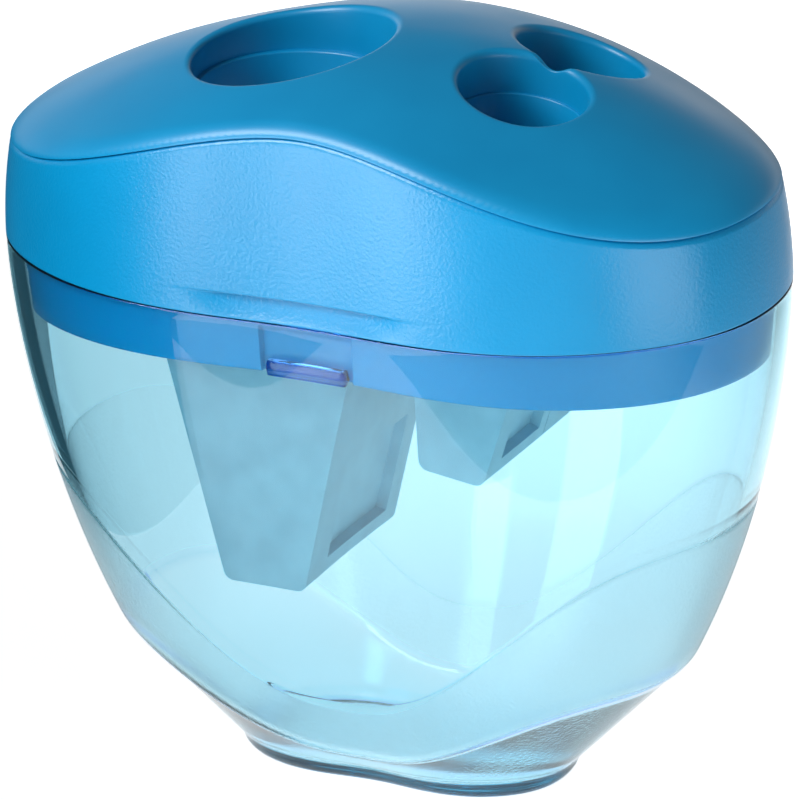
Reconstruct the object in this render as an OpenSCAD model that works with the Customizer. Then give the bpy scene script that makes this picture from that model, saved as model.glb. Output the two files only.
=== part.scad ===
// Three-hole container pencil sharpener: a clear container under a domed lid. A guide frame in
// the lid carries three wedge-shaped sharpener bodies, each with its own blade and screw.
// Frame: +Z up, front towards -Y, origin at the middle of the flat base. Millimetres.

/* [Overall] */
// Width of the sharpener, left to right
body_w = 60; // [58:0.5:62]
// Depth at the middle, front to back
body_d = 30.5; // [30:0.25:32]
// Height of the container, from the base to its joint with the lid
tub_h = 40; // [39:0.5:43]
// Height of the dome's top above the joint
dome_h = 17; // [16.5:0.25:18]

/* [Container] */
// Wall thickness of the container
tub_wall = 1.2; // [1:0.1:1.4]
// Thickness of the container's floor
floor_t = 1.5; // [1.2:0.1:2]
// Size of the foot as a share of the outline at the joint
foot_scale = 0.44; // [0.4:0.01:0.5]
// Height of the lower crease at the two ends, above the base
crease_end = 10.4; // [9:0.2:12]
// Height of the lower crease at the middle of the front and back, above the base
crease_mid = 3.2; // [2.8:0.2:5]

/* [Lid] */
// Wall thickness of the lid's side band
band_wall = 1.6; // [1.4:0.1:1.8]
// Height of the band at the two ends, above the joint
band_end = 7.3; // [6.5:0.1:8]
// Height of the band at the middle of the front and back, above the joint
band_mid = 13.4; // [12.5:0.1:13.8]
// Drop of the joint at the middle of the front and back
joint_sag = 0.6; // [0:0.1:0.8]
// Depth of the plug skirt that reaches into the container
skirt_h = 4.8; // [4:0.2:6]
// Gap between the skirt and the container
skirt_gap = 0.15; // [0.1:0.05:0.3]
// Thickness of the domed cover
cover_t = 1.6; // [1.4:0.1:2]

/* [Pencil holes] */
// Radius of the jumbo pencil's bore
jumbo_r = 6; // [5.6:0.1:6.1]
// Radius of a standard pencil's bore
pencil_r = 4.1; // [3.9:0.05:4.1]
// Lean of the two standard holes towards the right end, in degrees
lean = 8.3; // [6:0.1:9]

/* [Hidden] */
$fn = 64;

// Outline: a rounded oblong whose long sides are full at the shoulders and slightly hollow in the middle
middle_gain = 0.09;
shoulder_gain = 0.23;
ring_points = 64;
half_d = body_d / 2 / (1 + middle_gain);
// Container wall
joint_gap = 0.1;
foot_round = 1.2;
rib_w = 6.8;
rib_h = 1.2;
rib_depth = 0.4;
rib_root = 0.6;
rib_z = tub_h - 5;
// Lid
rim_scale = 0.975;
rim_gap = 0.3;
rim_h = 0.7;
dome_power = 2;
spigot_t = 0.6;
spigot_h = 1.2;
skirt_t = 1.1;
catch_w = 7;
catch_depth = 0.5;
catch_z = 1.6;
// Sharpener units: where the top of each body stands, and how the lid holds it
jumbo_at = [-6.4, -2.4, tub_h + 1];
pair_x = 11.3;
pair_y = 2;
pair_half = 4.85;
pair_z = tub_h + 9.5;
graphite_at = [pair_x, pair_y - pair_half, pair_z];
colour_at = [pair_x, pair_y + pair_half, pair_z];
fit_gap = 0.1;
collar_wall = 1;
jumbo_collar_r = 7;
pencil_collar_r = 4.5;
jumbo_collar_top = tub_h + dome_h - 4.4;
graphite_collar_h = 3;
colour_collar_h = 1.2;
rail_t = 0.8;
roof_t = 1;
plate_w = 52;
plate_d = 24.4;
plate_r = 10;
plate_t = 1.2;
plate_z = tub_h + 1.1;
// Sizes of the jumbo unit
jumbo_neck_h = 8;
jumbo_top_w = 15.6;
jumbo_foot_w = 6.5;
jumbo_half_d = 7.2;
jumbo_h = 24.6;
jumbo_straight = 6.2;
jumbo_cone_z = 1;
jumbo_cone_a = 12.5;
// Sizes of a standard unit
pencil_top_w = 10.4;
pencil_foot_w = 5;
pencil_half_d = 4.78;
pencil_h = 23.4;
pencil_straight = 8.4;
pencil_cone_z = -5.2;
pencil_cone_a = 11.5;
// Half sizes of the pair's window, and the height of its tops above the guide frame
pair_half_w = pencil_top_w / 2 + fit_gap;
pair_half_y = pair_half + pencil_half_d;
pair_drop = pair_z - plate_z;
roof_inset = 1.2;
roof_half_y = pair_half_y - roof_inset;
// Cutting cone, blade seat and chip slot
tip_r = 0.5;
cone_share = 0.93;
seat_gap = 0.02;
slot_depth = 0.9;
jumbo_plate = 1.8;
pencil_plate = 1.2;
corner_r = 0.8;
grip_depth = 0.8;
grip_margin = 1.8;
// Blades and screws
blade_t = 0.55;
bevel_w = 1.3;
screw_r = 0.95;
screw_head_r = 1.8;
screw_head_h = 0.9;
screw_len = 3.4;
drive_w = 0.5;
drive_depth = 0.5;
jumbo_screw_at = [4.3, 9];
pencil_screw_at = [2.9, 6];

// Radius of the outline, as a share of a plain ellipse
function swell(t) =
    let (s = pow(sin(t), 2))
    1 + middle_gain * s + shoulder_gain * s * (1 - pow(s, 8));
function outline(t) = [body_w / 2 * swell(t) * cos(t), half_d * swell(t) * sin(t)];

// Unit normal of the outline at t, pointing outwards
function outward(t) =
    let (d = outline(t + 0.5) - outline(t - 0.5))
    [d.y, -d.x] / norm(d);

// One loop of points: the outline scaled by k, moved inwards by inset, at height z(t)
function point_at(t, k, inset, z) =
    let (p = outline(t) * k - outward(t) * inset)
    [p.x, p.y, z];
function angles() = [for (i = [0 : ring_points - 1]) 360 * i / ring_points];

// Bell that is 1 at the middle of a long side and 0 at the two ends
function bell(t, p, q) = pow(1 - pow(min(1, abs(swell(t) * cos(t))), p), q);

// Heights that change around the outline
function joint_z(t) = tub_h - joint_sag * pow(sin(t), 8);
function band_z(t) = tub_h + band_end + (band_mid - band_end) * bell(t, 1.8, 2);
function crease_z(t) = crease_end + (crease_mid - crease_end) * bell(t, 2.5, 2.7);

// Scale of the container's outline at height z, above the lower crease
function wall_scale(z) =
    foot_scale + (1 - foot_scale) * pow(1 - pow(max(0, 1 - z / tub_h), 1.65), 0.64);

// Face of the container's inside wall where the locating rib stands
rib_y = tub_wall - body_d / 2 * wall_scale(rib_z);

// Container: [scale, inset, height] of each loop, down the outside, across the foot and up the inside
wall_steps = 10;
foot_steps = 3;
function tub_side(t, inset, rim) = [
    for (i = [0 : wall_steps])
        let (z = rim + (crease_z(t) - rim) * i / wall_steps)
        [wall_scale(z), inset, z]
];
function tub_foot(t, inset, low) =
    let (k = wall_scale(crease_z(t)))
    [
        for (i = [1 : foot_steps])
            let (f = i / foot_steps)
            [k + (foot_scale - k) * f, inset, crease_z(t) + (low - crease_z(t)) * f]
    ];
function tub_outer(t) = concat(
    tub_side(t, 0, joint_z(t) - joint_gap),
    tub_foot(t, 0, foot_round),
    [[foot_scale, 0.35, 0.35], [foot_scale, 1, 0]]
);
function tub_inner(t) = concat(
    tub_side(t, tub_wall, joint_z(t) - joint_gap),
    tub_foot(t, tub_wall, floor_t + foot_round / 2),
    [[foot_scale, tub_wall + 0.8, floor_t]]
);
function reversed(list) = [for (i = [len(list) - 1 : -1 : 0]) list[i]];

// Lid band: a closed section with the plug skirt hanging inside the container
band_steps = 6;
function band_lean(f) = 1 - (1 - rim_scale) * f * f;
function catch_dip(t, z) =
    let (x = outline(t).x / catch_w, u = (z - joint_z(t) - catch_z) / 1.2)
    sin(t) < 0 ? catch_depth * exp(-pow(x, 4)) * exp(-u * u) : 0;
function band_section(t) = concat(
    [
        for (i = [0 : band_steps])
            let (f = pow(i / band_steps, 1.4), z = joint_z(t) + (band_z(t) - joint_z(t)) * f)
            [band_lean(f), catch_dip(t, z), z]
    ],
    [
        [rim_scale, band_wall, band_z(t)],
        [band_lean(0.3), band_wall, tub_h + 2.6],
        [1, tub_wall + skirt_gap + skirt_t, tub_h + 1.2],
        [wall_scale(tub_h - skirt_h), tub_wall + skirt_gap + skirt_t, tub_h - skirt_h],
        [wall_scale(tub_h - skirt_h), tub_wall + skirt_gap, tub_h - skirt_h],
        [1, tub_wall + skirt_gap, joint_z(t)],
    ]
);

// Domed cover: the top surface, the rolled rim, the spigot inside the band and the underside
function dome_z(t, r) =
    let (rim = band_z(t) + rim_h)
    rim + (tub_h + dome_h - rim) * (1 - pow(r, dome_power));
dome_radii = [0.95, 0.88, 0.78, 0.64, 0.48, 0.31];
pole_scale = 0.14;

function cover_section(t) = concat(
    [[pole_scale, 0, tub_h + dome_h]],
    [for (r = reversed(dome_radii)) [rim_scale * r, 0, dome_z(t, r)]],
    [
        [rim_scale * 0.985, 0, band_z(t) + rim_h],
        [rim_scale, 0, band_z(t) + rim_h - 0.2],
        [rim_scale, 0, band_z(t) + rim_gap],
        [rim_scale, band_wall + fit_gap, band_z(t) + rim_gap],
        [rim_scale, band_wall + fit_gap, band_z(t) - spigot_h],
        [rim_scale, band_wall + fit_gap + spigot_t, band_z(t) - spigot_h],
    ],
    [for (r = dome_radii) if (r < 0.85) [rim_scale * r, 0, dome_z(t, r) - cover_t]],
    [[pole_scale, 0, tub_h + dome_h - cover_t]]
);

// Skin over a list of loops. A section is a function's list of [scale, inset, height] at each angle.
module skin(sections, wrap) {
    n = len(sections);
    m = len(sections[0]);
    points = [
        for (j = [0 : m - 1], i = [0 : n - 1])
            let (s = sections[i][j])
            point_at(360 * i / n, s[0], s[1], s[2])
    ];
    sides = [
        for (j = [0 : m - (wrap ? 1 : 2)], i = [0 : n - 1])
            let (a = j * n + i, b = j * n + (i + 1) % n, up = ((j + 1) % m) * n)
            each [[a, up + i, up + (i + 1) % n], [a, up + (i + 1) % n, b]]
    ];
    caps = wrap ? [] : [
        [for (i = [0 : n - 1]) i],
        [for (i = [n - 1 : -1 : 0]) (m - 1) * n + i],
    ];
    polyhedron(points, concat(sides, caps), convexity = 10);
}

module container() {
    color([0.62, 0.9, 0.96, 0.4])
    union() {
        skin([for (t = angles()) concat(reversed(tub_outer(t)), tub_inner(t))], false);
        translate([-rib_w / 2, rib_y - rib_root, rib_z])
            cube([rib_w, rib_root + rib_depth, rib_h]);
    }
}

// Side band of the lid, with its plug skirt grooved for the container's locating rib
module lid_band() {
    color([0, 0.53, 0.76])
    difference() {
        skin([for (t = angles()) band_section(t)], true);
        translate([-rib_w / 2 - 0.3, -body_d, tub_h - skirt_h - 1])
            cube([rib_w + 0.6, body_d + rib_y + rib_depth + 0.2, skirt_h + 1 - joint_sag - 0.3]);
    }
}

// Places a unit: its bore's axis is Z, and the top of its body is at z = 0
module stand(at, angle = 0) {
    translate(at)
        rotate([0, angle, 0])
            children();
}

// Round hole up through the lid, on a unit's axis
module pencil_hole(r) {
    translate([0, 0, -1])
        cylinder(r = r, h = dome_h + 2);
}
module pencil_holes() {
    stand(jumbo_at)
        pencil_hole(jumbo_collar_r);
    for (at = [graphite_at, colour_at])
        stand(at, lean)
            pencil_hole(pencil_collar_r);
}

// Domed cover with the three round holes
module top_cover() {
    color([0, 0.55, 0.78])
    difference() {
        skin([for (t = angles()) cover_section(t)], false);
        pencil_holes();
    }
}

// Flat plate with round corners, its underside at z = 0
module rounded_plate(w, d, r, t) {
    for (size = [[w - 2 * r, d], [w, d - 2 * r]])
        translate([-size.x / 2, -size.y / 2, 0])
            cube([size.x, size.y, t]);
    for (x = [-1, 1], y = [-1, 1])
        translate([x * (w / 2 - r), y * (d / 2 - r), 0])
            cylinder(r = r, h = t);
}

// Frame shared by the pair of standard units: z = 0 is the plane of their tops
module stand_pair() {
    stand([pair_x, pair_y, pair_z], lean)
        children();
}

// Collar that stands on the guide frame under the jumbo hole
module jumbo_collar() {
    low = plate_z + plate_t;
    color([0, 0.5, 0.74])
    translate([jumbo_at.x, jumbo_at.y, low])
        difference() {
            cylinder(r = jumbo_collar_r + collar_wall, h = jumbo_collar_top - low);
            translate([0, 0, -1])
                cylinder(r = jumbo_collar_r, h = jumbo_collar_top - low + 2);
        }
}

// Guide frame: a flat plate inside the lid, with a hole for the jumbo unit and a window for the pair
module guide_frame() {
    color([0, 0.5, 0.74])
    difference() {
        translate([0, 0, plate_z])
            rounded_plate(plate_w, plate_d, plate_r, plate_t);
        pencil_holes();
        stand_pair()
            translate([-pair_half_w, -pair_half_y - fit_gap, -pair_drop - 2])
                cube([2 * pair_half_w, 2 * (pair_half_y + fit_gap), pair_drop + 2]);
    }
}

// Roof over the pair: a leaning plate with a collar round each standard hole
module pair_roof() {
    color([0, 0.5, 0.74])
    difference() {
        union() {
            stand_pair()
                translate([-pair_half_w - rail_t, -roof_half_y, fit_gap / 2])
                    cube([2 * (pair_half_w + rail_t), 2 * roof_half_y, roof_t]);
            stand(graphite_at, lean)
                translate([0, 0, fit_gap / 2])
                    cylinder(r = pencil_collar_r + collar_wall, h = graphite_collar_h - fit_gap / 2);
            stand(colour_at, lean)
                translate([0, 0, fit_gap / 2])
                    cylinder(r = pencil_collar_r + collar_wall, h = colour_collar_h - fit_gap / 2);
        }
        pencil_holes();
    }
}

// Rail from the guide frame up to the roof, on the left (-1) or right (1) of the pair
module rail(side) {
    color([0, 0.5, 0.74])
    difference() {
        stand_pair()
            translate([side * (pair_half_w + rail_t / 2) - rail_t / 2, -pair_half_y, -pair_drop - 1])
                cube([rail_t, 2 * pair_half_y, pair_drop + 1 + fit_gap / 2]);
        translate([-body_w / 2, -body_d / 2, plate_z + plate_t - body_w])
            cube([body_w, body_d, body_w]);
    }
}
module left_rail() { rail(-1); }
module right_rail() { rail(1); }

// Length of the cutting cone along its axis, and along its side
function cone_len(bore, a) = (bore - tip_r) / tan(a);
function seat_len(bore, a) = cone_share * cone_len(bore, a) / cos(a);

// Outline of a body seen from the front: straight at the top, then tapering to a rounded foot
function half_profile(top_w, foot_w, h, straight) =
    let (taper = atan((top_w - foot_w) / 2 / (h - straight)))
    let (c = [foot_w / 2 - corner_r * (1 - sin(taper)) / cos(taper), corner_r - h])
    concat(
        [for (i = [0 : 5]) let (a = -90 + (90 - taper) * i / 5) c + corner_r * [cos(a), sin(a)]],
        [[top_w / 2, -straight], [top_w / 2, 0]]
    );
module body_block(top_w, foot_w, h, straight, half_depth) {
    right = half_profile(top_w, foot_w, h, straight);
    left = [for (p = reversed(right)) [-p.x, p.y]];
    rotate([90, 0, 0])
        linear_extrude(height = 2 * half_depth, center = true)
            polygon(concat(right, left));
}

// Frame of the blade's seat: z runs up the cone's left side from its tip, and x points into the body
module on_seat(bore, cone_z, cone_a) {
    translate([-tip_r, 0, cone_z - cone_len(bore, cone_a)])
        rotate([0, -cone_a, 0])
            children();
}

// Wedge-shaped sharpener body: bore, cutting cone, blade seat, chip slot, finger grip and screw hole
module sharpener_body(
    bore, top_w, foot_w, h, straight, half_depth, cone_z, cone_a, plate, screw_at, neck = [0, 0]
) {
    seat = seat_len(bore, cone_a);
    taper = atan((top_w - foot_w) / 2 / (h - straight));
    difference() {
        union() {
            body_block(top_w, foot_w, h, straight, half_depth);
            if (neck[0] > 0)
                translate([0, 0, -1])
                    cylinder(r = neck[0], h = neck[1] + 1);
        }
        translate([0, 0, cone_z])
            cylinder(r = bore, h = h);
        translate([0, 0, cone_z - cone_len(bore, cone_a)])
            cylinder(r1 = tip_r, r2 = bore, h = cone_len(bore, cone_a));
        on_seat(bore, cone_z, cone_a) {
            translate([-top_w, plate - half_depth, -4])
                cube([top_w, 2 * half_depth, seat + 4]);
            translate([-top_w, plate - half_depth, 1.2])
                cube([top_w + slot_depth, half_depth - plate - 0.15, seat - 2.2]);
            translate([0, screw_at[0], screw_at[1]])
                rotate([0, 90, 0])
                    cylinder(r = screw_r + 0.05, h = screw_len + 0.2, $fn = 24);
        }
        translate([foot_w / 2, 0, -h])
            rotate([0, taper, 0])
                translate([-grip_depth, grip_margin * plate - half_depth, 1.6])
                    cube([top_w, 2 * half_depth - (1 + grip_margin) * plate, h / 3]);
    }
}

// Blade: a flat steel strip with one bevelled cutting edge and a screw hole
module blade(bore, half_depth, cone_z, cone_a, screw_at) {
    length = seat_len(bore, cone_a) - 1;
    edge = -0.1;
    back = half_depth - 0.15;
    on_seat(bore, cone_z, cone_a)
        difference() {
            translate([0, 0, 0.6])
                linear_extrude(height = length)
                    polygon([
                        [-seat_gap, edge],
                        [-seat_gap, back],
                        [-seat_gap - blade_t, back],
                        [-seat_gap - blade_t, edge + bevel_w],
                    ]);
            translate([-1, screw_at[0], screw_at[1]])
                rotate([0, 90, 0])
                    cylinder(r = screw_r + 0.15, h = 2, $fn = 24);
        }
}

// Slotted pan-head screw that holds a blade on its seat
module screw(bore, cone_z, cone_a, screw_at) {
    on_seat(bore, cone_z, cone_a)
        translate([0, screw_at[0], screw_at[1]])
            rotate([0, -90, 0])
                difference() {
                    union() {
                        translate([0, 0, seat_gap + blade_t + 0.01])
                            cylinder(r = screw_head_r, h = screw_head_h, $fn = 32);
                        translate([0, 0, -screw_len])
                            cylinder(r = screw_r, h = screw_len + blade_t + 0.2, $fn = 24);
                    }
                    for (turn = [0, 90])
                        rotate([0, 0, turn])
                            translate([-drive_w / 2, -1.2, seat_gap + blade_t + screw_head_h - drive_depth])
                                cube([drive_w, 2.4, 1]);
                }
}

module jumbo_body() {
    color([0.62, 0.76, 0.84])
        stand(jumbo_at)
            sharpener_body(
                jumbo_r, jumbo_top_w, jumbo_foot_w, jumbo_h, jumbo_straight, jumbo_half_d,
                jumbo_cone_z, jumbo_cone_a, jumbo_plate, jumbo_screw_at,
                [jumbo_collar_r - fit_gap, jumbo_neck_h]
            );
}
module jumbo_blade() {
    color([0.75, 0.77, 0.8])
        stand(jumbo_at)
            blade(jumbo_r, jumbo_half_d, jumbo_cone_z, jumbo_cone_a, jumbo_screw_at);
}
module jumbo_screw() {
    color([0.7, 0.7, 0.72])
        stand(jumbo_at)
            screw(jumbo_r, jumbo_cone_z, jumbo_cone_a, jumbo_screw_at);
}

// The graphite and colour units are alike and stand at different places
module pencil_body(at) {
    color([0.62, 0.76, 0.84])
        stand(at, lean)
            sharpener_body(
                pencil_r, pencil_top_w, pencil_foot_w, pencil_h, pencil_straight, pencil_half_d,
                pencil_cone_z, pencil_cone_a, pencil_plate, pencil_screw_at
            );
}
module pencil_blade(at) {
    color([0.75, 0.77, 0.8])
        stand(at, lean)
            blade(pencil_r, pencil_half_d, pencil_cone_z, pencil_cone_a, pencil_screw_at);
}
module pencil_screw(at) {
    color([0.7, 0.7, 0.72])
        stand(at, lean)
            screw(pencil_r, pencil_cone_z, pencil_cone_a, pencil_screw_at);
}
module graphite_body() { pencil_body(graphite_at); }
module graphite_blade() { pencil_blade(graphite_at); }
module graphite_screw() { pencil_screw(graphite_at); }
module colour_body() { pencil_body(colour_at); }
module colour_blade() { pencil_blade(colour_at); }
module colour_screw() { pencil_screw(colour_at); }

container();
lid_band();
top_cover();
guide_frame();
jumbo_collar();
pair_roof();
left_rail();
right_rail();
jumbo_body();
jumbo_blade();
jumbo_screw();
graphite_body();
graphite_blade();
graphite_screw();
colour_body();
colour_blade();
colour_screw();
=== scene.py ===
import bpy, math
import numpy as np
from mathutils import Matrix, Vector
from mathutils.geometry import delaunay_2d_cdt


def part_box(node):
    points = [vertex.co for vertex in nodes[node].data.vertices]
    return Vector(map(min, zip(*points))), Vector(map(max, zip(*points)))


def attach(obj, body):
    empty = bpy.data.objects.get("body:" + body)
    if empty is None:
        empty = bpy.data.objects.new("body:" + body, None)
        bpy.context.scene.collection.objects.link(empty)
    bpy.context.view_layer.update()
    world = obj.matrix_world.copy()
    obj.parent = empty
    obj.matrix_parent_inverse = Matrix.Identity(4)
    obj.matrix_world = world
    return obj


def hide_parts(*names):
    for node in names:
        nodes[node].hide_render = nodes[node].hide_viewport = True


# Container pencil sharpener: a clear container under a blue domed lid with three pencil holes.
# Shapes are worked out in millimetres and put into meshes in metres.
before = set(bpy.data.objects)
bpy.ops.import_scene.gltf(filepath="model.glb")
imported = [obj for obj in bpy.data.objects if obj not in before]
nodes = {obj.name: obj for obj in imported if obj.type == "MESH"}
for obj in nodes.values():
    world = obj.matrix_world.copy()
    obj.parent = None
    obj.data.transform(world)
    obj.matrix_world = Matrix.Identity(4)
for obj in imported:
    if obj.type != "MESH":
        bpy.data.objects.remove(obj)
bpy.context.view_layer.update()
mm = 0.001

containerLow, containerHigh = [np.array(c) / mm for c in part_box("container")]
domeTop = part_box("top_cover")[1][2] / mm

# The outline that every skin follows, and the heights of the lid's edges
body = dict(
    halfWidth=(containerHigh[0] - containerLow[0]) / 2,
    middleDepth=30.5,      # front to back at the middle
    middleGain=0.09,       # fullness of the long sides
    shoulderGain=0.23,     # extra fullness at the shoulders beside the middle
    jointGap=0.03,         # hairline between container and lid
    jointSag=0.6,          # how far the joint drops at the middle of front and back
    bandEnd=7.3,           # height of the band at the two ends
    bandMiddle=13.4,       # height of the band at the middle
    rimScale=0.975,        # outline of the dome's rim
    rimRise=0.7,           # from the band's top to the dome's shoulder
)
body["joint"] = containerHigh[2] + body["jointGap"]
body["halfDepth"] = body["middleDepth"] / 2 / (1 + body["middleGain"])


# Fullness of the outline: 1 at the ends, more at the shoulders, a little less again at the middle
def swell(t):
    s = np.sin(t) ** 2
    return 1 + body["middleGain"] * s + body["shoulderGain"] * s * (1 - s ** 8)


# Outline point at t: an ellipse whose radius is multiplied by swell
def outline(t):
    x = body["halfWidth"] * swell(t) * np.cos(t)
    y = body["halfDepth"] * swell(t) * np.sin(t)
    return x, y


# Unit normal of the outline, from the points a little before and after t
def outward(t):
    x0, y0 = outline(t - 0.009)
    x1, y1 = outline(t + 0.009)
    size = np.hypot(x1 - x0, y1 - y0)
    return (y1 - y0) / size, -(x1 - x0) / size


# 1 at the middle of a long side, falling to 0 at the ends
def bell(t, p, q):
    return (1 - np.minimum(1, np.abs(swell(t) * np.cos(t))) ** p) ** q


def jointHeight(t):
    return body["joint"] - body["jointSag"] * np.sin(t) ** 8


def bandHeight(t):
    return body["joint"] + body["bandEnd"] + (body["bandMiddle"] - body["bandEnd"]) * bell(t, 1.8, 2)


def smoothStep(low, high, value):
    u = np.clip((value - low) / (high - low), 0, 1)
    return u * u * (3 - 2 * u)


# How far a rounded edge of this radius falls away, at a distance in from the edge
def roundOff(radius, distance):
    u = np.clip(1 - distance / radius, 0, 1)
    return radius * (1 - np.sqrt(1 - u * u))


# Angles round the outline: even steps, and finer ones beside the listed places along the front
def ringAngles(count, frontPlaces=()):
    even = np.arange(count) * 2 * np.pi / count
    t = np.linspace(-np.pi / 2 - 0.5, -np.pi / 2 + 0.5, 4001)
    x = outline(t)[0]
    fine = [np.interp(place + step, x, t) for place in frontPlaces for step in (-0.12, -0.04, 0.04, 0.12)]
    every = np.sort(np.concatenate([even, np.mod(fine, 2 * np.pi)]))
    return every[np.diff(every, append=every[0] + 2 * np.pi) > 1e-4]


# Skin over a list of rows: each row is [scale, inset, height], and any of them may be an array over t.
# Row after row climbs the outside; wrapped joins the last row to the first, otherwise both ends are capped.
def skin(t, rows, wrapped):
    scale, inset, height = [
        np.array([np.broadcast_to(row[k], t.shape) for row in rows]) for k in range(3)
    ]
    x, y = outline(t)
    nx, ny = outward(t)
    points = np.stack([x * scale - nx * inset, y * scale - ny * inset, height], axis=-1)
    rowCount, ringCount = scale.shape
    i = np.arange(rowCount if wrapped else rowCount - 1)[:, None]
    j = np.arange(ringCount)[None, :]
    here, nextRow = i * ringCount, ((i + 1) % rowCount) * ringCount
    side = (j + 1) % ringCount
    quads = np.stack([here + j, here + side, nextRow + side, nextRow + j], axis=-1).reshape(-1, 4)
    faces = quads.tolist()
    if not wrapped:
        ring = np.arange(ringCount)
        faces.append(ring[::-1].tolist())
        faces.append((ring + (rowCount - 1) * ringCount).tolist())
    return points, faces


# Mesh object from points in millimetres, riding on a body and taking a material
def makePiece(name, points, faces, material, bodyName, marks=None):
    mesh = bpy.data.meshes.new(name)
    mesh.from_pydata((np.reshape(points, (-1, 3)) * mm).tolist(), [], faces)
    for markName, values in (marks or {}).items():
        layer = mesh.attributes.new(markName, "FLOAT", "POINT")
        layer.data.foreach_set("value", np.ravel(values).astype(np.float32))
    mesh.shade_smooth()
    mesh.validate()
    piece = bpy.data.objects.new(name, mesh)
    bpy.context.scene.collection.objects.link(piece)
    mesh.materials.append(material)
    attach(piece, bodyName)
    return piece


# sRGB hex to linear
def linear(hexColour, alpha=1.0):
    channels = [int(hexColour[k:k + 2], 16) / 255 for k in (1, 3, 5)]
    return [c / 12.92 if c <= 0.04045 else ((c + 0.055) / 1.055) ** 2.4 for c in channels] + [alpha]


def newMaterial(name):
    material = bpy.data.materials.new(name)
    material.use_nodes = True
    tree = material.node_tree
    return material, tree, tree.nodes["Principled BSDF"]


# Adds a node: settings are its properties, inputs its values or the sockets that feed them
def addNode(tree, kind, settings=None, inputs=None):
    node = tree.nodes.new(kind)
    for key, value in (settings or {}).items():
        setattr(node, key, value)
    for key, value in (inputs or {}).items():
        if isinstance(value, bpy.types.NodeSocket):
            tree.links.new(value, node.inputs[key])
        else:
            node.inputs[key].default_value = value
    return node


# A noise whose blobs are about sizeMm across
def grain(tree, sizeMm, detail=2.0):
    where = addNode(tree, "ShaderNodeTexCoord")
    return addNode(tree, "ShaderNodeTexNoise", None, {
        "Vector": where.outputs["Object"], "Scale": 1 / (sizeMm * mm), "Detail": detail, "Roughness": 0.5,
    })


# Reads a noise or a mark and spreads it over a range of values
def spread(tree, source, fromRange, toRange):
    return addNode(tree, "ShaderNodeMapRange", None, {
        "Value": source, "From Min": fromRange[0], "From Max": fromRange[1],
        "To Min": toRange[0], "To Max": toRange[1],
    }).outputs["Result"]


# Moulded ABS from a spark-eroded mould: a fine pebbled skin that breaks the light into a soft sheen
def sparkErodedAbs():
    # the inside colour is the same blue painted lighter, as painted light for the inner faces and skirt in
    # the shade of the container
    look = dict(colour="#008ac0", deep="#0086bb", inside="#00a6e6", pebbleMm=0.24, pebbleDepthMm=0.03)
    material, tree, shader = newMaterial("sparkErodedAbs")
    outside = addNode(tree, "ShaderNodeAttribute", {"attribute_name": "outside"}).outputs["Fac"]
    pebbles = grain(tree, look["pebbleMm"])
    cloud = grain(tree, 9.0)
    tone = addNode(tree, "ShaderNodeMix", {"data_type": "RGBA"}, {
        "Factor": spread(tree, cloud.outputs["Fac"], (0.35, 0.65), (0, 1)),
        "A": linear(look["deep"]), "B": linear(look["colour"]),
    })
    # painted light: the inner faces and the skirt take the lighter copy of the blue, and the outside keeps
    # the moulded colour
    side = addNode(tree, "ShaderNodeMix", {"data_type": "RGBA"}, {
        "Factor": outside, "A": linear(look["inside"]), "B": tone.outputs["Result"],
    })
    tree.links.new(side.outputs["Result"], shader.inputs["Base Color"])
    tree.links.new(spread(tree, outside, (0, 1), (0.22, 0.3)), shader.inputs["Roughness"])
    bump = addNode(tree, "ShaderNodeBump", None, {
        "Height": pebbles.outputs["Fac"], "Distance": look["pebbleDepthMm"] * mm,
        "Strength": spread(tree, outside, (0, 1), (0.05, 1.0)),
    })
    tree.links.new(bump.outputs["Normal"], shader.inputs["Normal"])
    shader.inputs["IOR"].default_value = 1.54
    return material


# Moulded ABS from a stoned mould: satin, with only a trace of grain
def satinAbs():
    look = dict(colour="#008bc0", deep="#0087bc", grainMm=0.2, grainDepthMm=0.003)
    material, tree, shader = newMaterial("satinAbs")
    fine = grain(tree, look["grainMm"])
    cloud = grain(tree, 7.0)
    tone = addNode(tree, "ShaderNodeMix", {"data_type": "RGBA"}, {
        "Factor": spread(tree, cloud.outputs["Fac"], (0.35, 0.65), (0, 1)),
        "A": linear(look["deep"]), "B": linear(look["colour"]),
    })
    tree.links.new(tone.outputs["Result"], shader.inputs["Base Color"])
    tree.links.new(spread(tree, cloud.outputs["Fac"], (0.3, 0.7), (0.34, 0.4)), shader.inputs["Roughness"])
    bump = addNode(tree, "ShaderNodeBump", None, {
        "Height": fine.outputs["Fac"], "Distance": look["grainDepthMm"] * mm, "Strength": 0.8,
    })
    tree.links.new(bump.outputs["Normal"], shader.inputs["Normal"])
    shader.inputs["IOR"].default_value = 1.54
    return material
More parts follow.
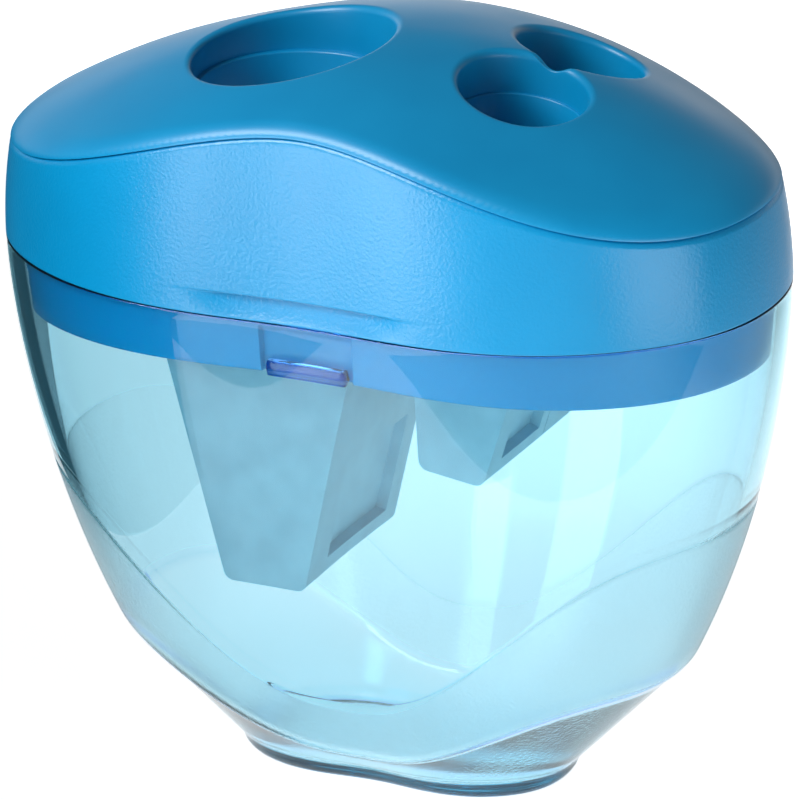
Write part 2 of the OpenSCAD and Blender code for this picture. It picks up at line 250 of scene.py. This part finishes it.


# Clear moulded polystyrene tinted aqua: the volume's dye deepens the tint where the light runs a long way
# through the wall.
# The mark "frost" is the etched band, and "edge" the rims and the crease, where a deep blue is painted into
# the colour as painted shade for light running along the wall.
def tintedPolystyrene():
    look = dict(
        tint="#eaf7fc", edge="#2a78e0", speckMm=0.3, speckDepthMm=0.045,
        dye="#7fe4f2", dyeDensity=260,   # the density is per metre
    )
    material, tree, shader = newMaterial("tintedPolystyrene")
    frost = addNode(tree, "ShaderNodeAttribute", {"attribute_name": "frost"}).outputs["Fac"]
    edge = addNode(tree, "ShaderNodeAttribute", {"attribute_name": "edge"}).outputs["Fac"]
    # painted edge shade: the deep blue is mixed into the colour where the edge mark is high
    tone = addNode(tree, "ShaderNodeMix", {"data_type": "RGBA"}, {
        "Factor": edge, "A": linear(look["tint"]), "B": linear(look["edge"]),
    })
    tree.links.new(tone.outputs["Result"], shader.inputs["Base Color"])
    tree.links.new(spread(tree, frost, (0, 1), (0.02, 0.32)), shader.inputs["Roughness"])
    specks = grain(tree, look["speckMm"], 3.0)
    bump = addNode(tree, "ShaderNodeBump", None, {
        "Height": specks.outputs["Fac"], "Distance": look["speckDepthMm"] * mm, "Strength": frost,
    })
    tree.links.new(bump.outputs["Normal"], shader.inputs["Normal"])
    shader.inputs["IOR"].default_value = 1.45
    shader.inputs["Transmission Weight"].default_value = 1.0
    absorb = addNode(tree, "ShaderNodeVolumeAbsorption")
    absorb.inputs["Color"].default_value = linear(look["dye"])
    absorb.inputs["Density"].default_value = look["dyeDensity"]
    tree.links.new(absorb.outputs["Volume"], tree.nodes["Material Output"].inputs["Volume"])
    return material


# Moulded acetal: dense and slightly waxy, with a faint mottle
def waxyAcetal():
    look = dict(colour="#b0dae8", shade="#9fcbdb", grainMm=0.2, grainDepthMm=0.004)
    material, tree, shader = newMaterial("waxyAcetal")
    mottle = grain(tree, 3.0, 4.0)
    tone = addNode(tree, "ShaderNodeMix", {"data_type": "RGBA"}, {
        "Factor": spread(tree, mottle.outputs["Fac"], (0.35, 0.65), (0, 1)),
        "A": linear(look["shade"]), "B": linear(look["colour"]),
    })
    tree.links.new(tone.outputs["Result"], shader.inputs["Base Color"])
    tree.links.new(spread(tree, mottle.outputs["Fac"], (0.3, 0.7), (0.38, 0.5)), shader.inputs["Roughness"])
    fine = grain(tree, look["grainMm"])
    bump = addNode(tree, "ShaderNodeBump", None, {
        "Height": fine.outputs["Fac"], "Distance": look["grainDepthMm"] * mm, "Strength": 0.6,
    })
    tree.links.new(bump.outputs["Normal"], shader.inputs["Normal"])
    shader.inputs["IOR"].default_value = 1.48
    return material


# Surface-ground hardened steel: fine lines across the blade, drawn coarser than real so that they show
def groundSteel():
    look = dict(colour="#c3c6ca", shade="#a5a9ae", lineMm=0.08, stretch=(1, 0.04, 1), lineDepthMm=0.003)
    material, tree, shader = newMaterial("groundSteel")
    where = addNode(tree, "ShaderNodeTexCoord")
    turn = addNode(tree, "ShaderNodeMapping", None, {
        "Vector": where.outputs["Object"], "Scale": look["stretch"],
    })
    lines = addNode(tree, "ShaderNodeTexNoise", None, {
        "Vector": turn.outputs["Vector"], "Scale": 1 / (look["lineMm"] * mm), "Detail": 2.0,
    })
    tone = addNode(tree, "ShaderNodeMix", {"data_type": "RGBA"}, {
        "Factor": lines.outputs["Fac"], "A": linear(look["shade"]), "B": linear(look["colour"]),
    })
    tree.links.new(tone.outputs["Result"], shader.inputs["Base Color"])
    tree.links.new(spread(tree, lines.outputs["Fac"], (0.3, 0.7), (0.2, 0.38)), shader.inputs["Roughness"])
    bump = addNode(tree, "ShaderNodeBump", None, {
        "Height": lines.outputs["Fac"], "Distance": look["lineDepthMm"] * mm, "Strength": 0.7,
    })
    tree.links.new(bump.outputs["Normal"], shader.inputs["Normal"])
    shader.inputs["Metallic"].default_value = 1.0
    return material


# Zinc-plated screw steel: brighter, with soft clouds in the plating
def zincPlate():
    look = dict(colour="#c9c9cc", shade="#b2b4ba")
    material, tree, shader = newMaterial("zincPlate")
    cloud = grain(tree, 0.6, 3.0)
    tone = addNode(tree, "ShaderNodeMix", {"data_type": "RGBA"}, {
        "Factor": cloud.outputs["Fac"], "A": linear(look["shade"]), "B": linear(look["colour"]),
    })
    tree.links.new(tone.outputs["Result"], shader.inputs["Base Color"])
    tree.links.new(spread(tree, cloud.outputs["Fac"], (0.3, 0.7), (0.18, 0.34)), shader.inputs["Roughness"])
    shader.inputs["Metallic"].default_value = 1.0
    return material


pebbled, satin, clear, acetal = sparkErodedAbs(), satinAbs(), tintedPolystyrene(), waxyAcetal()
steel, zinc = groundSteel(), zincPlate()
print("materials ready")

container = dict(
    ringCount=384,
    wall=1.2,
    floor=1.5,
    footScale=0.44,
    creaseEnd=10.4,     # the lower crease at the two ends
    creaseMiddle=3.2,   # and at the middle of front and back
    frostEnd=23.0,      # the top of the frosted band at the two ends
    frostMiddle=7.7,
    creaseStep=0.22,    # how far the frosted band stands proud of the clear foot
    insideFrost=0.6,    # the foot is matt on its inside
    rimRound=0.15,
)


def wallScale(z):
    down = np.maximum(0, 1 - z / body["joint"])
    return container["footScale"] + (1 - container["footScale"]) * (1 - down ** 1.65) ** 0.64


def creaseHeight(t):
    return container["creaseEnd"] + (container["creaseMiddle"] - container["creaseEnd"]) * bell(t, 2.5, 2.7)


def frostHeight(t):
    return container["frostEnd"] + (container["frostMiddle"] - container["frostEnd"]) * bell(t, 2.5, 2.7)


# Rows from the middle of the foot, up the outside, over the rim and down the inside to the floor.
# Each row is [scale, inset, height, frost, edge], where edge is the share of painted edge shade in the
# colour.
def containerRows(t):
    crease, frostTop = creaseHeight(t), frostHeight(t)
    rim = jointHeight(t) - body["jointGap"]
    foot = container["footScale"]
    step = container["creaseStep"]
    creaseScale = wallScale(crease)
    rows = [[foot * k, 0.9 * k, 0.0, 0, 0] for k in (0.3, 0.6, 0.9)]
    # the foot's lower rounding takes a little painted edge shade
    for a in np.linspace(0, np.pi / 2, 7):
        rows.append([foot, 1 - np.sin(a), 1.2 * (1 - np.cos(a)), 0, 0.35 * (a < 1)])
    for f in np.linspace(0, 1, 18)[1:-1]:
        scale = foot + (creaseScale - foot) * f
        rows.append([scale, step * f, 1.2 + (crease - 1.2) * f, 0, 0])
    # painted shade along the crease, deeper towards the front corners
    paintedCreaseShade = 0.1 + 0.65 * smoothStep(9, 16, np.abs(outline(t)[0])) * (np.sin(t) < 0)
    for f in (0, 0.35, 0.7, 1):
        rows.append([creaseScale, step * (1 - f), crease + 0.14 * (f - 0.5), 0, paintedCreaseShade])
    for f in np.linspace(0, 1, 30)[1:]:
        z = crease + 0.14 + (frostTop - crease - 0.18) * f
        rows.append([wallScale(z), 0, z, 1, 0])
    for f in np.linspace(0, 1, 44):
        z = frostTop + (rim - container["rimRound"] - frostTop) * f
        rows.append([wallScale(z), 0.02, z, 0, 0])
    # the rounded rim, over the top and back down, takes most of the painted edge shade
    for a in np.linspace(0, np.pi / 2, 5)[1:]:
        fall = container["rimRound"]
        rows.append([1, fall * (1 - np.cos(a)), rim - fall + fall * np.sin(a), 0, 0.9])
    for a in np.linspace(np.pi / 2, 0, 5)[:-1]:
        fall = container["rimRound"]
        rows.append([1, container["wall"] - fall * (1 - np.cos(a)), rim - fall + fall * np.sin(a), 0, 0.9])
    for f in np.linspace(0, 1, 40):
        z = rim - container["rimRound"] + (crease - rim + container["rimRound"]) * f
        rows.append([wallScale(z), container["wall"], z, 0, 0])
    lowest, matt = container["floor"] + 0.6, container["insideFrost"]
    for f in np.linspace(0, 1, 14)[1:]:
        scale = creaseScale + (foot - creaseScale) * f
        rows.append([scale, container["wall"], crease + (lowest - crease) * f, matt, 0])
    for a in np.linspace(0, np.pi / 2, 5)[1:]:
        rows.append([foot, container["wall"] + 0.8 * np.sin(a), lowest - 0.6 * (1 - np.cos(a)), matt, 0])
    for k in (0.8, 0.5, 0.25):
        rows.append([foot * k, (container["wall"] + 0.8) * k, container["floor"], matt, 0])
    return rows


def makeContainer():
    t = ringAngles(container["ringCount"])
    rows = containerRows(t)
    points, faces = skin(t, rows, False)
    marks = {
        name: np.array([np.broadcast_to(row[k], t.shape) for row in rows])
        for name, k in (("frost", 3), ("edge", 4))
    }
    shell = makePiece("containerShell", points, faces, clear, "container", marks)
    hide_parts("container")


# The locating rib: a small bar with round edges across the inside of the front wall.
# It is a rounded box: a superellipse carried along the bar, closing to a point row at each end.
rib = dict(
    halfWidth=3.4, low=35.0, high=36.2, proud=0.4, root=0.3, power=5,
    stations=25, around=32,   # points along the bar and round it
    edge=0.75,                # how much painted edge shade it takes
)


def makeRib():
    stations, around = rib["stations"], rib["around"]
    u = np.linspace(-1, 1, stations)[:, None]
    a = (np.arange(around) * 2 * np.pi / around)[None, :]
    ease = (1 - np.abs(u) ** 16) ** (1 / 8)
    shrink = np.maximum(ease, 0.02)
    wallInside = -body["middleDepth"] / 2 * wallScale(rib["low"]) + container["wall"]
    cy = wallInside + (rib["proud"] - rib["root"]) / 2
    cz = (rib["low"] + rib["high"]) / 2
    halfY, halfZ = (rib["proud"] + rib["root"]) / 2, (rib["high"] - rib["low"]) / 2
    power = 2 / rib["power"]
    x = rib["halfWidth"] * u + 0 * a
    y = cy + halfY * shrink * np.sign(np.cos(a)) * np.abs(np.cos(a)) ** power
    z = cz + halfZ * shrink * np.sign(np.sin(a)) * np.abs(np.sin(a)) ** power
    points = np.stack([x, y, z], axis=-1)
    i, j = np.arange(stations - 1)[:, None] * around, np.arange(around)[None, :]
    side = (j + 1) % around
    faces = np.stack([i + j, i + side, i + around + side, i + around + j], axis=-1).reshape(-1, 4).tolist()
    ring = np.arange(around)
    faces += [ring[::-1].tolist(), (ring + (stations - 1) * around).tolist()]
    # the rib carries painted edge shade all over
    marks = {"frost": np.zeros(stations * around), "edge": np.full(stations * around, rib["edge"])}
    makePiece("locatingRib", points, faces, clear, "container", marks)


makeContainer()
makeRib()
print("container made")

band = dict(
    ringCount=420,
    wall=1.6,
    skirtHeight=4.8,
    skirtGap=0.15,
    skirtWall=1.1,
    edgeRound=0.15,
    hollowHalfWidth=7.6,   # the shallow finger hollow at the front
    hollowHeight=1.7,
    hollowDepth=0.7,
    grooveHalfWidth=3.6,   # the groove that passes the container's rib
    grooveDepth=0.5,
)


# Finger hollow: deepens from the lid's lower edge up to a crisp upper edge, and fades out sideways
def hollow(t, rise):
    x = outline(t)[0] / band["hollowHalfWidth"]
    v = rise / band["hollowHeight"]
    shape = np.clip(v, 0, 1) ** 0.8 * (1 - smoothStep(1.0, 1.16, v))
    return band["hollowDepth"] * np.exp(-x ** 6) * shape * (np.sin(t) < 0)


def lean(f):
    return 1 - (1 - body["rimScale"]) * f * f


# Rows up the outside, over the top, down the inside and round the skirt: [scale, inset, height, outside]
def bandRows(t):
    bottom, top = jointHeight(t), bandHeight(t)
    skirtLow = body["joint"] - band["skirtHeight"]
    lowScale = wallScale(skirtLow)
    skirtOut = container["wall"] + band["skirtGap"]
    skirtIn = skirtOut + band["skirtWall"]
    groove = band["grooveDepth"] * (np.abs(outline(t)[0]) < band["grooveHalfWidth"]) * (np.sin(t) < 0)
    rows = []
    rises = np.concatenate([np.linspace(0, 0.3, 6), np.linspace(0.4, 1.55, 8), np.linspace(1.65, 2.05, 7)])
    for rise in rises:
        f = rise / (top - bottom)
        inset = roundOff(band["edgeRound"], rise) + hollow(t, rise)
        rows.append([lean(f), inset, bottom + rise, 1])
    for g in np.linspace(0, 1, 40)[1:]:
        rise = 2.05 + (top - bottom - 2.45) * g
        rows.append([lean(rise / (top - bottom)), 0, bottom + rise, 1])
    for a in np.linspace(0, np.pi / 2, 6)[1:]:
        rows.append([body["rimScale"], 0.4 * (1 - np.cos(a)), top - 0.4 * (1 - np.sin(a)), 1])
    rows.append([body["rimScale"], band["wall"], top, 0])
    rows.append([lean(0.3), band["wall"], body["joint"] + 2.6, 0])
    rows.append([1, skirtIn, body["joint"] + 1.2, 0])
    for f in np.linspace(0, 1, 6)[1:]:
        height = body["joint"] + 1.2 - (band["skirtHeight"] + 1) * f
        rows.append([1 + (lowScale - 1) * f, skirtIn, height, 0])
    for a in np.linspace(0, np.pi, 9):
        middle = (skirtOut + skirtIn) / 2
        inset = middle + band["skirtWall"] / 2 * np.cos(a) + groove * (a > 1.5) * (1 + np.cos(a) * 0.3)
        rows.append([lowScale, np.minimum(inset, skirtIn), skirtLow + 0.2 - 0.2 * np.sin(a), 0])
    for f in np.linspace(0, 1, 16)[1:]:
        z = skirtLow + 0.2 + (bottom - 0.05 - skirtLow - 0.2) * f
        notch = groove * (1 - smoothStep(-0.9, -0.6, z - bottom))
        rows.append([wallScale(skirtLow) + (1 - wallScale(skirtLow)) * f, skirtOut + notch, z, 0])
    rows.append([1, skirtOut, bottom, 0])
    return rows


def makeBand():
    edge = band["grooveHalfWidth"]
    t = ringAngles(band["ringCount"], (-edge, edge))
    rows = bandRows(t)
    points, faces = skin(t, rows, True)
    marks = {"outside": np.array([np.broadcast_to(row[3], t.shape) for row in rows])}
    piece = makePiece("lidBand", points, faces, pebbled, "lid", marks)
    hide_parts("lid_band")


makeBand()
print("lid band made")

cover = dict(
    ringCount=360,
    thickness=1.6,
    rimGap=0.06,
    shoulder=0.08,        # share of the radius over which the rim rolls down
    shoulderFall=0.6,
    lipRound=0.55,        # radius of the rolled lip of a hole
    collarWall=0.6,
    fill=0.62,            # spacing of the points between the rings
    lean=math.radians(8.3),
    webFall=0.9,          # the wall between the paired holes dips below the dome
)
# Each hole: a point on its axis, its inner radius, its lean, and the depth of its collar along the axis
holes = [
    dict(at=(-6.4, -2.4, 41.0), radius=7.4, lean=0.0, collarLow=8.3, steps=150),
    dict(at=(11.3, -2.85, 49.5), radius=4.7, lean=cover["lean"], collarLow=1.3, steps=120),
    dict(at=(11.3, 6.85, 49.5), radius=4.7, lean=cover["lean"], collarLow=1.3, steps=120),
]


# Which direction of the outline a point lies in, and its share of the way to the rim
def polar(x, y):
    t = np.arctan2(y / body["halfDepth"], x / body["halfWidth"])
    r = np.hypot(x / body["halfWidth"], y / body["halfDepth"]) / (body["rimScale"] * swell(t))
    return t, r


# Height of the dome: a parabola from the top down to the rim in every direction, rolled over at the rim
def domeHeight(x, y):
    t, r = polar(x, y)
    shoulder = bandHeight(t) + body["rimRise"]
    roll = np.clip((r - 1 + cover["shoulder"]) / cover["shoulder"], 0, 1)
    return domeTop - (domeTop - shoulder) * r ** 2 - cover["shoulderFall"] * (1 - np.sqrt(1 - roll ** 2))


def holeAxes(hole):
    c, s = math.cos(hole["lean"]), math.sin(hole["lean"])
    return np.array([c, 0, -s]), np.array([0, 1, 0]), np.array([s, 0, c])


# Follows lines parallel to the axis up to where they meet the dome
def dropOntoDome(start, axis):
    along = np.zeros(len(start))
    for _ in range(20):
        p = start + along[:, None] * axis
        along += 0.9 * (domeHeight(p[:, 0], p[:, 1]) - p[:, 2]) / axis[2]
    return start + along[:, None] * axis


# Distance of points from a hole's axis
def axisDistance(p, hole):
    across, side, axis = holeAxes(hole)
    d = p - np.array(hole["at"])
    return np.hypot(d @ across, d @ side)


# Rings of points round a hole: on the dome, moved down its rolled lip, and their place on the underside
def holeRings(hole, others):
    across, side, axis = holeAxes(hole)
    lip, wall = cover["lipRound"], cover["collarWall"]
    a = np.linspace(0, np.pi / 2, 10)
    out = np.concatenate([lip * (1 - np.cos(a)), [lip + 0.12, lip + 0.35]])
    phi = np.arange(hole["steps"]) * 2 * np.pi / hole["steps"]
    radius = np.repeat(hole["radius"] + out, len(phi))
    turn = np.tile(phi, len(out))
    spoke = np.cos(turn)[:, None] * across + np.sin(turn)[:, None] * side
    start = np.array(hole["at"]) + radius[:, None] * spoke + (domeTop - hole["at"][2] - 3) * axis
    flat = dropOntoDome(start, axis)
    gap = radius - hole["radius"]
    fall = roundOff(lip, gap)
    keep = np.ones(len(flat), bool)
    for other in others:
        away = axisDistance(flat, other) - other["radius"]
        keep &= (away > gap - 1e-6) | (gap < 1e-6)
        both = 1 - smoothStep(0, lip, np.maximum(away, gap))
        fall = fall + cover["webFall"] * both * (away < lip)
    top = flat - fall[:, None] * axis
    under = flat - [0, 0, 1] * np.full((len(flat), 1), cover["thickness"])
    collar = np.array(hole["at"]) + radius[:, None] * spoke + hole["collarLow"] * axis
    inCollar = gap < wall
    under[inCollar] = collar[inCollar]
    return flat[keep], top[keep], under[keep], len(phi)


# Rings along the rolled rim, then an even triangular grid between the rings
def rimRings():
    a = np.linspace(np.pi / 2, 0, 10)
    shares = np.concatenate([1 - cover["shoulder"] * (1 - np.sin(a)), [0.94, 0.925, 0.905, 0.88, 0.86]])
    t = np.arange(cover["ringCount"]) * 2 * np.pi / cover["ringCount"]
    x, y = outline(t)
    k = shares[:, None] * body["rimScale"]
    return (x * k).ravel(), (y * k).ravel()


def fillPoints():
    gap = cover["fill"]
    rows = np.arange(-16, 16, gap * 0.866)
    x, y = np.meshgrid(np.arange(-30, 30, gap), rows)
    x = x + (np.arange(len(rows)) % 2)[:, None] * gap / 2
    x, y = x.ravel(), y.ravel()
    r = polar(x, y)[1]
    p = np.stack([x, y, domeHeight(x, y)], axis=-1)
    keep = r < 0.845
    for hole in holes:
        keep &= axisDistance(p, hole) > hole["radius"] + cover["lipRound"] + 0.35 + gap * 0.45
    return x[keep], y[keep]


# The cover as one closed solid: the dome, its underside with the same triangles, and walls between them
def makeCover():
    flats, tops, unders, loops = [], [], [], []
    x, y = rimRings()
    z = domeHeight(x, y)
    t, r = polar(x, y)
    rimUnder = np.where(r > 0.87, bandHeight(t) + cover["rimGap"], z - cover["thickness"])
    flats.append(np.stack([x, y], axis=-1))
    tops.append(np.stack([x, y, z], axis=-1))
    unders.append(np.stack([x, y, rimUnder], axis=-1))
    count = len(x)
    for k, hole in enumerate(holes):
        others = [h for h in holes if h is not hole and h["lean"] > 0 and hole["lean"] > 0]
        flat, top, under, ringCount = holeRings(hole, others)
        loops.append(np.arange(count, count + ringCount))
        flats.append(flat[:, :2])
        tops.append(top)
        unders.append(under)
        count += len(flat)
    x, y = fillPoints()
    z = domeHeight(x, y)
    flats.append(np.stack([x, y], axis=-1))
    tops.append(np.stack([x, y, z], axis=-1))
    unders.append(np.stack([x, y, z - cover["thickness"]], axis=-1))
    flat, top, under = np.concatenate(flats), np.concatenate(tops), np.concatenate(unders)
    rimLoop = np.arange(cover["ringCount"])
    edges = [
        pair for loop in [rimLoop, *loops] for pair in np.stack([loop, np.roll(loop, -1)], axis=-1).tolist()
    ]
    found = delaunay_2d_cdt([Vector(p) for p in flat], edges, [], 0, 1e-7, True)
    triangles = np.array([[found[3][v][0] for v in face] for face in found[2]])
    middle = flat[triangles].mean(axis=1)
    keep = polar(middle[:, 0], middle[:, 1])[1] < 0.9999
    for loop in loops:
        keep &= ~insideLoop(middle, flat[loop])
    triangles = triangles[keep]
    a, b, c = [flat[triangles[:, k]] for k in range(3)]
    turned = (b[:, 0] - a[:, 0]) * (c[:, 1] - a[:, 1]) - (b[:, 1] - a[:, 1]) * (c[:, 0] - a[:, 0]) < 0
    triangles[turned] = triangles[turned][:, ::-1]
    faces = triangles.tolist() + (triangles[:, ::-1] + count + len(x)).tolist()
    total = len(flat)
    points = [top, under]
    # walls of the holes, from the lip down to the collar's end
    extra = 2 * total
    for hole, loop in zip(holes, loops):
        rows = [loop]
        for f in np.linspace(0, 1, 12)[1:-1]:
            points.append(top[loop] * (1 - f) + under[loop] * f)
            rows.append(np.arange(extra, extra + len(loop)))
            extra += len(loop)
        rows.append(loop + total)
        for upper, lower in zip(rows, rows[1:]):
            faces += np.stack([upper, np.roll(upper, -1), np.roll(lower, -1), lower], axis=-1).tolist()
    nextRim = np.roll(rimLoop, -1)
    faces += np.stack([rimLoop + total, nextRim + total, nextRim, rimLoop], axis=-1).tolist()
    piece = makePiece("domedCover", np.concatenate(points), faces, satin, "lid")
    piece.data.set_sharp_from_angle(angle=math.radians(50))
    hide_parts("top_cover")
    print("cover points", total)


# Whether points lie inside a closed loop, by counting the edges that a ray to the right crosses
def insideLoop(p, loop):
    a, b = loop, np.roll(loop, -1, axis=0)
    ay, by = a[None, :, 1], b[None, :, 1]
    py = p[:, None, 1]
    crosses = (ay > py) != (by > py)
    at = a[None, :, 0] + (py - ay) / np.where(by == ay, 1e-9, by - ay) * (b - a)[None, :, 0]
    return (crosses & (p[:, None, 0] < at)).sum(axis=1) % 2 == 1


makeCover()
print("domed cover made")

# The pieces that keep their CAD shape
cadLooks = dict.fromkeys(("guide_frame", "jumbo_collar", "pair_roof", "left_rail", "right_rail"), satin)
for unit in ("jumbo", "graphite", "colour"):
    cadLooks[unit + "_body"] = acetal
    cadLooks[unit + "_blade"] = steel
    cadLooks[unit + "_screw"] = zinc
# Radii of the moulded edges, in millimetres, by the last word of a piece's name
edgeRound = {"body": 0.4, "frame": 0.2, "collar": 0.15, "roof": 0.15, "rail": 0.1}
for name, material in cadLooks.items():
    piece = nodes[name]
    piece.data.materials.clear()
    piece.data.materials.append(material)
    radius = edgeRound.get(name.split("_")[1])
    if radius:
        weld = piece.modifiers.new("weld", "WELD")
        weld.merge_threshold = 0.002 * mm
        bevel = piece.modifiers.new("roundEdges", "BEVEL")
        bevel.width = radius * mm
        bevel.segments = 3
        bevel.limit_method = "ANGLE"
        bevel.angle_limit = math.radians(40)
        bevel.use_clamp_overlap = True
        bevel.harden_normals = True
print("sharpener units dressed")

# Floor, light and camera
studio = dict(
    front=math.radians(27),   # direction that counts as the front, from -Y towards +X
    floorColour="#f4f4f4",
    glow=0.92,                # a strip of the pale table is lit from below
    glowWidth=(0.05, 0.09),   # metres to each side where the strip begins and ends to fade
    cardColour="#141618",     # dark card in front, which keeps the lid's colour deep
    cardNear=0.055,
    cardFar=0.6,
    flagColour="#2c5a68",
    # dark upright cards beside the object: distance to the right, start and end towards the back, height
    flags={"flagLeft": (-0.045, -0.03, 0.13, 0.05)},
    roomLight=0.12,
    horizonLight=1.2,         # low light behind the object
)


# Point on the floor at a distance behind the object's middle and to its right
def onFloor(behind, right, height=0.0):
    c, s = math.cos(studio["front"]), math.sin(studio["front"])
    return (right * c - behind * s, right * s + behind * c, height)


def makeStagePlane(name, corners, material, seen=True):
    mesh = bpy.data.meshes.new(name)
    mesh.from_pydata(corners, [], [(0, 1, 2, 3)])
    plane = bpy.data.objects.new(name, mesh)
    bpy.context.scene.collection.objects.link(plane)
    mesh.materials.append(material)
    plane.visible_camera = seen
    return plane


def makeFloor():
    material, tree, shader = newMaterial("paperTable")
    shader.inputs["Base Color"].default_value = linear(studio["floorColour"])
    shader.inputs["Roughness"].default_value = 0.9
    where = addNode(tree, "ShaderNodeTexCoord")
    aside = addNode(tree, "ShaderNodeVectorMath", {"operation": "DOT_PRODUCT"}, {
        0: where.outputs["Object"], 1: onFloor(0, 1),
    })
    either = addNode(tree, "ShaderNodeMath", {"operation": "ABSOLUTE"}, {0: aside.outputs["Value"]})
    glow = spread(tree, either.outputs["Value"], studio["glowWidth"], (studio["glow"], 0))
    tree.links.new(glow, shader.inputs["Emission Strength"])
    shader.inputs["Emission Color"].default_value = (1, 1, 1, 1)
    low = -0.1 * mm
    makeStagePlane("floor", [(-4, -4, low), (4, -4, low), (4, 4, low), (-4, 4, low)], material)
    cards = []
    for name, colour in (("blackCard", studio["cardColour"]), ("greyCard", studio["flagColour"])):
        card, _, cardShader = newMaterial(name)
        cardShader.inputs["Base Color"].default_value = linear(colour)
        cardShader.inputs["Roughness"].default_value = 0.9
        cards.append(card)
    near, far = -studio["cardNear"], -studio["cardFar"]
    corners = [onFloor(far, -0.5), onFloor(far, 0.5), onFloor(near, 0.5), onFloor(near, -0.5)]
    frontCard = makeStagePlane("card", corners, cards[0], False)
    # only reflections show it, so the floor stays pale from every side
    frontCard.visible_transmission = frontCard.visible_diffuse = frontCard.visible_shadow = False
    for name, (side, start, end, top) in studio["flags"].items():
        corners = [onFloor(start, side), onFloor(end, side)]
        corners += [onFloor(end, side, top), onFloor(start, side, top)]
        makeStagePlane(name, corners, cards[1], False)


# A soft box: an area light at a place, aimed at a point, as bright as this many times white paper
def softBox(name, place, aim, size, brightness):
    data = bpy.data.lights.new(name, "AREA")
    data.shape = "RECTANGLE"
    data.size, data.size_y = size
    data.energy = brightness * math.pi * size[0] * size[1]
    lamp = bpy.data.objects.new(name, data)
    bpy.context.scene.collection.objects.link(lamp)
    lamp.location = place
    lamp.visible_camera = False
    lamp.rotation_euler = (Vector(aim) - Vector(place)).to_track_quat("-Z", "Y").to_euler()


# The room: dim all round, with a pale low wall behind the object
def makeWorld():
    world = bpy.data.worlds.new("studio")
    world.use_nodes = True
    tree = world.node_tree
    where = addNode(tree, "ShaderNodeTexCoord")
    behind = addNode(tree, "ShaderNodeVectorMath", {"operation": "DOT_PRODUCT"}, {
        0: where.outputs["Generated"], 1: onFloor(1, 0),
    })
    height = addNode(tree, "ShaderNodeSeparateXYZ", None, {0: where.outputs["Generated"]})
    low = spread(tree, height.outputs["Z"], (0.10, 0.24), (studio["horizonLight"], 0))
    wall = addNode(tree, "ShaderNodeMath", {"operation": "MULTIPLY_ADD"}, {
        0: low, 1: spread(tree, behind.outputs["Value"], (0.2, 0.8), (0, 1)), 2: studio["roomLight"],
    })
    tree.links.new(wall.outputs["Value"], tree.nodes["Background"].inputs["Strength"])
    tree.nodes["Background"].inputs["Color"].default_value = (1, 1, 1, 1)
    bpy.context.scene.world = world


# Place, aim, size and brightness of each soft box, in metres
lamps = {
    "keyLeft": ((-0.053, -0.105, 0.032), (0, -0.015, 0.040), (0.048, 0.060), 5.4),
    "keyRight": ((0.114, -0.048, 0.032), (0.026, -0.010, 0.040), (0.076, 0.060), 2.6),
    "front": ((-0.30, -0.50, 0.54), (0, 0, 0.03), (0.4, 0.4), 12.5),
}

# Where the camera stands: degrees round and up, its roll, metres from the aim, and its lens in millimetres
view = dict(
    azimuth=27.085, elevation=22.07, roll=-1.88, distance=0.5415,
    aim=(0.00184, -0.00359, 0.02974), lens=336.3,
)


def makeCamera():
    data = bpy.data.cameras.new("camera")
    data.sensor_width = 36
    data.lens = view["lens"]
    camera = bpy.data.objects.new("camera", data)
    bpy.context.scene.collection.objects.link(camera)
    turn = (
        Matrix.Rotation(math.radians(view["azimuth"]), 4, "Z")
        @ Matrix.Rotation(math.radians(90 - view["elevation"]), 4, "X")
        @ Matrix.Rotation(math.radians(view["roll"]), 4, "Z")
    )
    back = turn.to_3x3() @ Vector((0, 0, 1))
    camera.matrix_world = Matrix.Translation(Vector(view["aim"]) + back * view["distance"]) @ turn
    data.clip_start, data.clip_end = 0.01, 20
    bpy.context.scene.camera = camera


makeFloor()
makeWorld()
for name, settings in lamps.items():
    softBox(name, *settings)
makeCamera()
bpy.context.scene.view_settings.view_transform = "Standard"
print("studio made")
